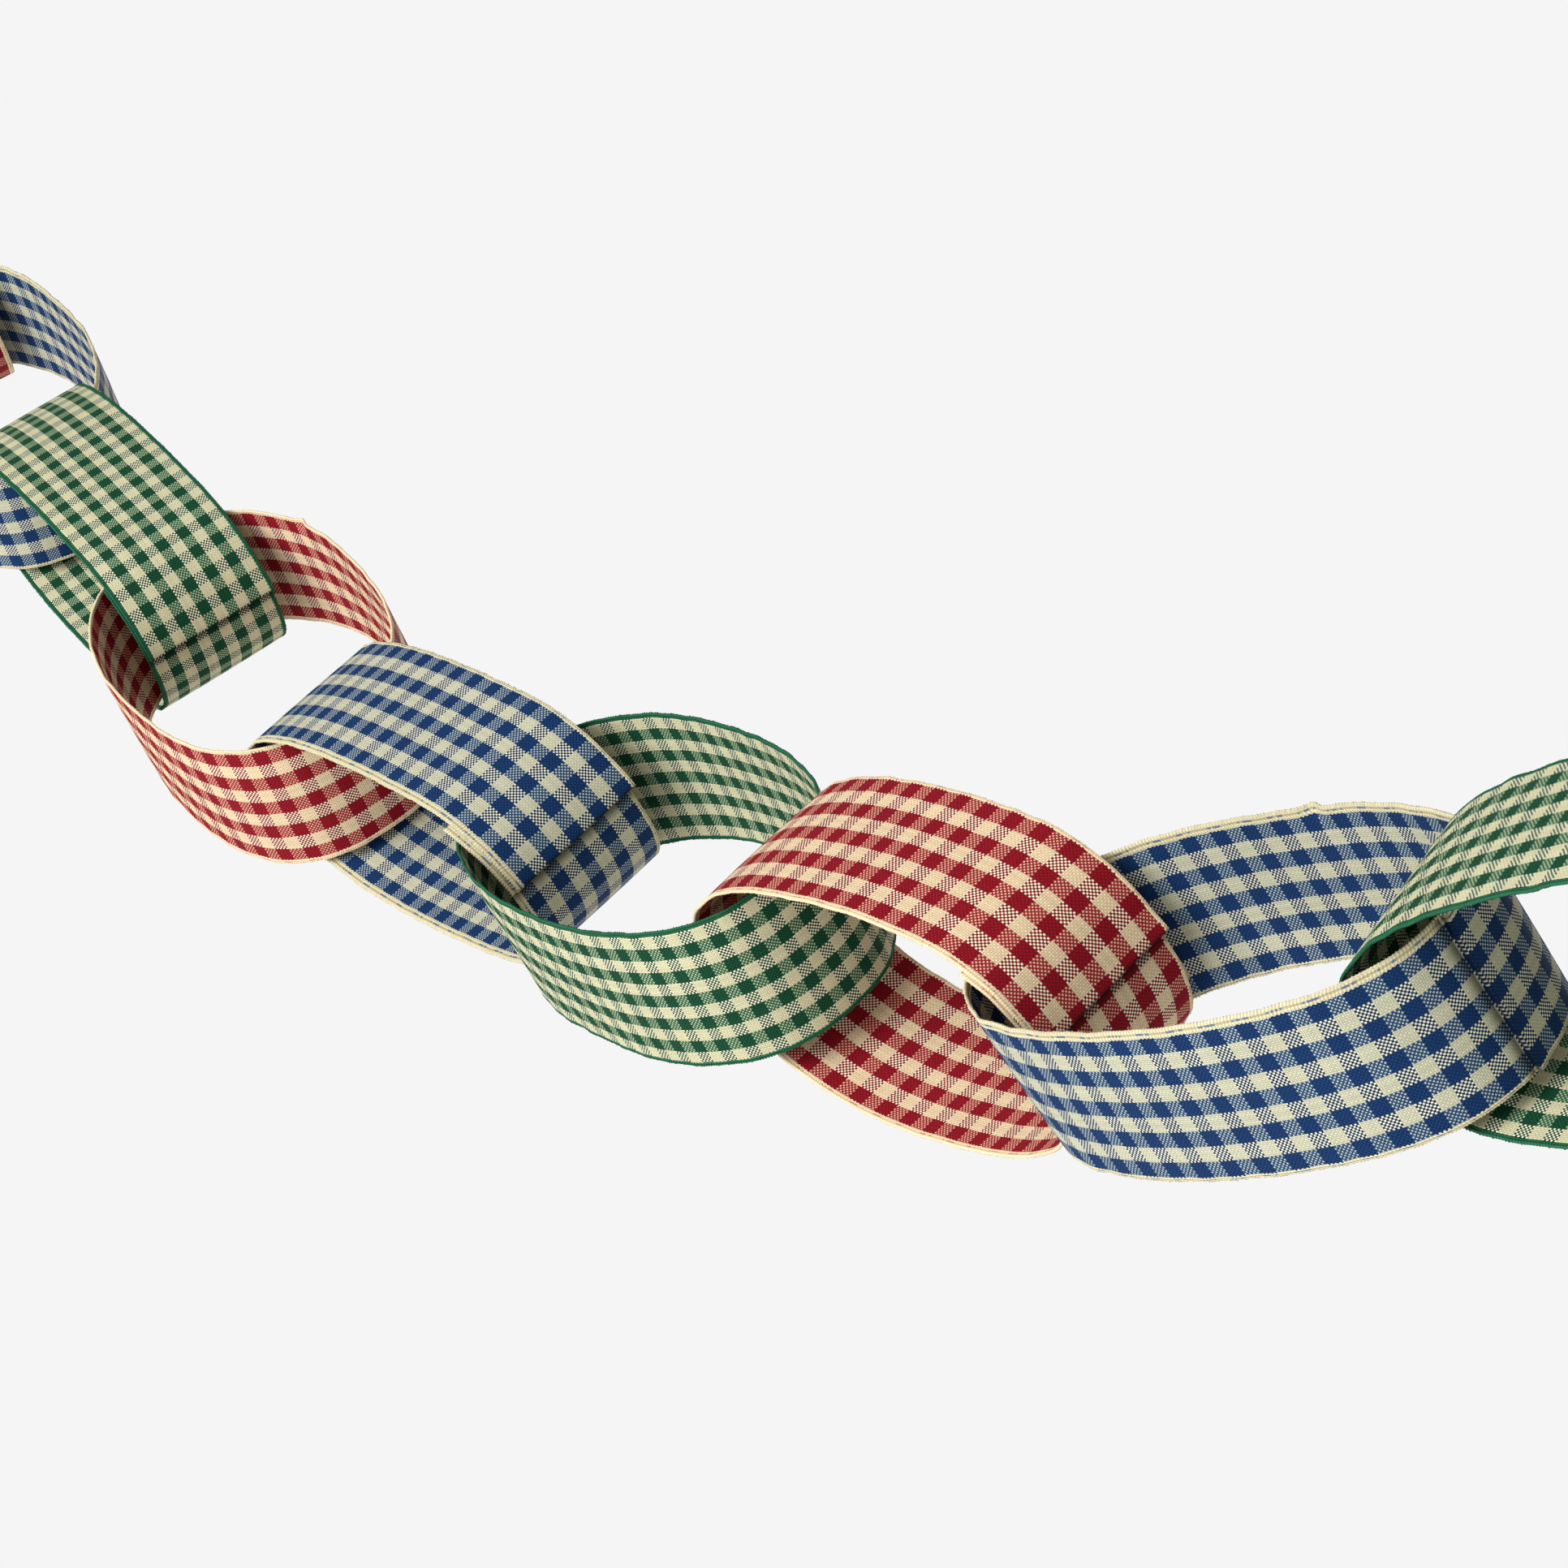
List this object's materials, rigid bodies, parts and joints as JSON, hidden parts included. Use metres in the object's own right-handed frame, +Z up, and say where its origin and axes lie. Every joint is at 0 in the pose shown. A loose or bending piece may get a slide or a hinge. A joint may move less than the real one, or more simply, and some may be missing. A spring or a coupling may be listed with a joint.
{
  "type": "ribbon chain garland",
  "caption": "Festive chain garland of interlinked gingham ribbon loops, each hooked through the next a quarter turn apart, hanging as one half of a swag.",
  "frame": {"origin": "inside the far end of the upper end loop, where a hook or pin bears", "axes": "+X along the swag from its upper end to its low end, +Z up, the front towards -Y"},
  "size_m": [0.5402, 0.0502, 0.2473],
  "materials": {
    "ribbon_red": "woven red and cream gingham",
    "ribbon_blue": "woven blue and cream gingham",
    "ribbon_green": "woven green and cream gingham",
    "seam_tape": "double-sided tape, hidden in each lap"
  },
  "bodies": {
    "root": {"ribbon_1_red": "ribbon_red", "ribbon_2_blue": "ribbon_blue", "ribbon_3_green": "ribbon_green", "ribbon_4_red": "ribbon_red", "ribbon_5_blue": "ribbon_blue", "ribbon_6_green": "ribbon_green", "ribbon_7_red": "ribbon_red", "ribbon_8_blue": "ribbon_blue", "ribbon_9_green": "ribbon_green", "seam_tape_1": "seam_tape", "seam_tape_2": "seam_tape", "seam_tape_3": "seam_tape", "seam_tape_4": "seam_tape", "seam_tape_5": "seam_tape", "seam_tape_6": "seam_tape", "seam_tape_7": "seam_tape", "seam_tape_8": "seam_tape", "seam_tape_9": "seam_tape"}
  },
  "joints": []
}
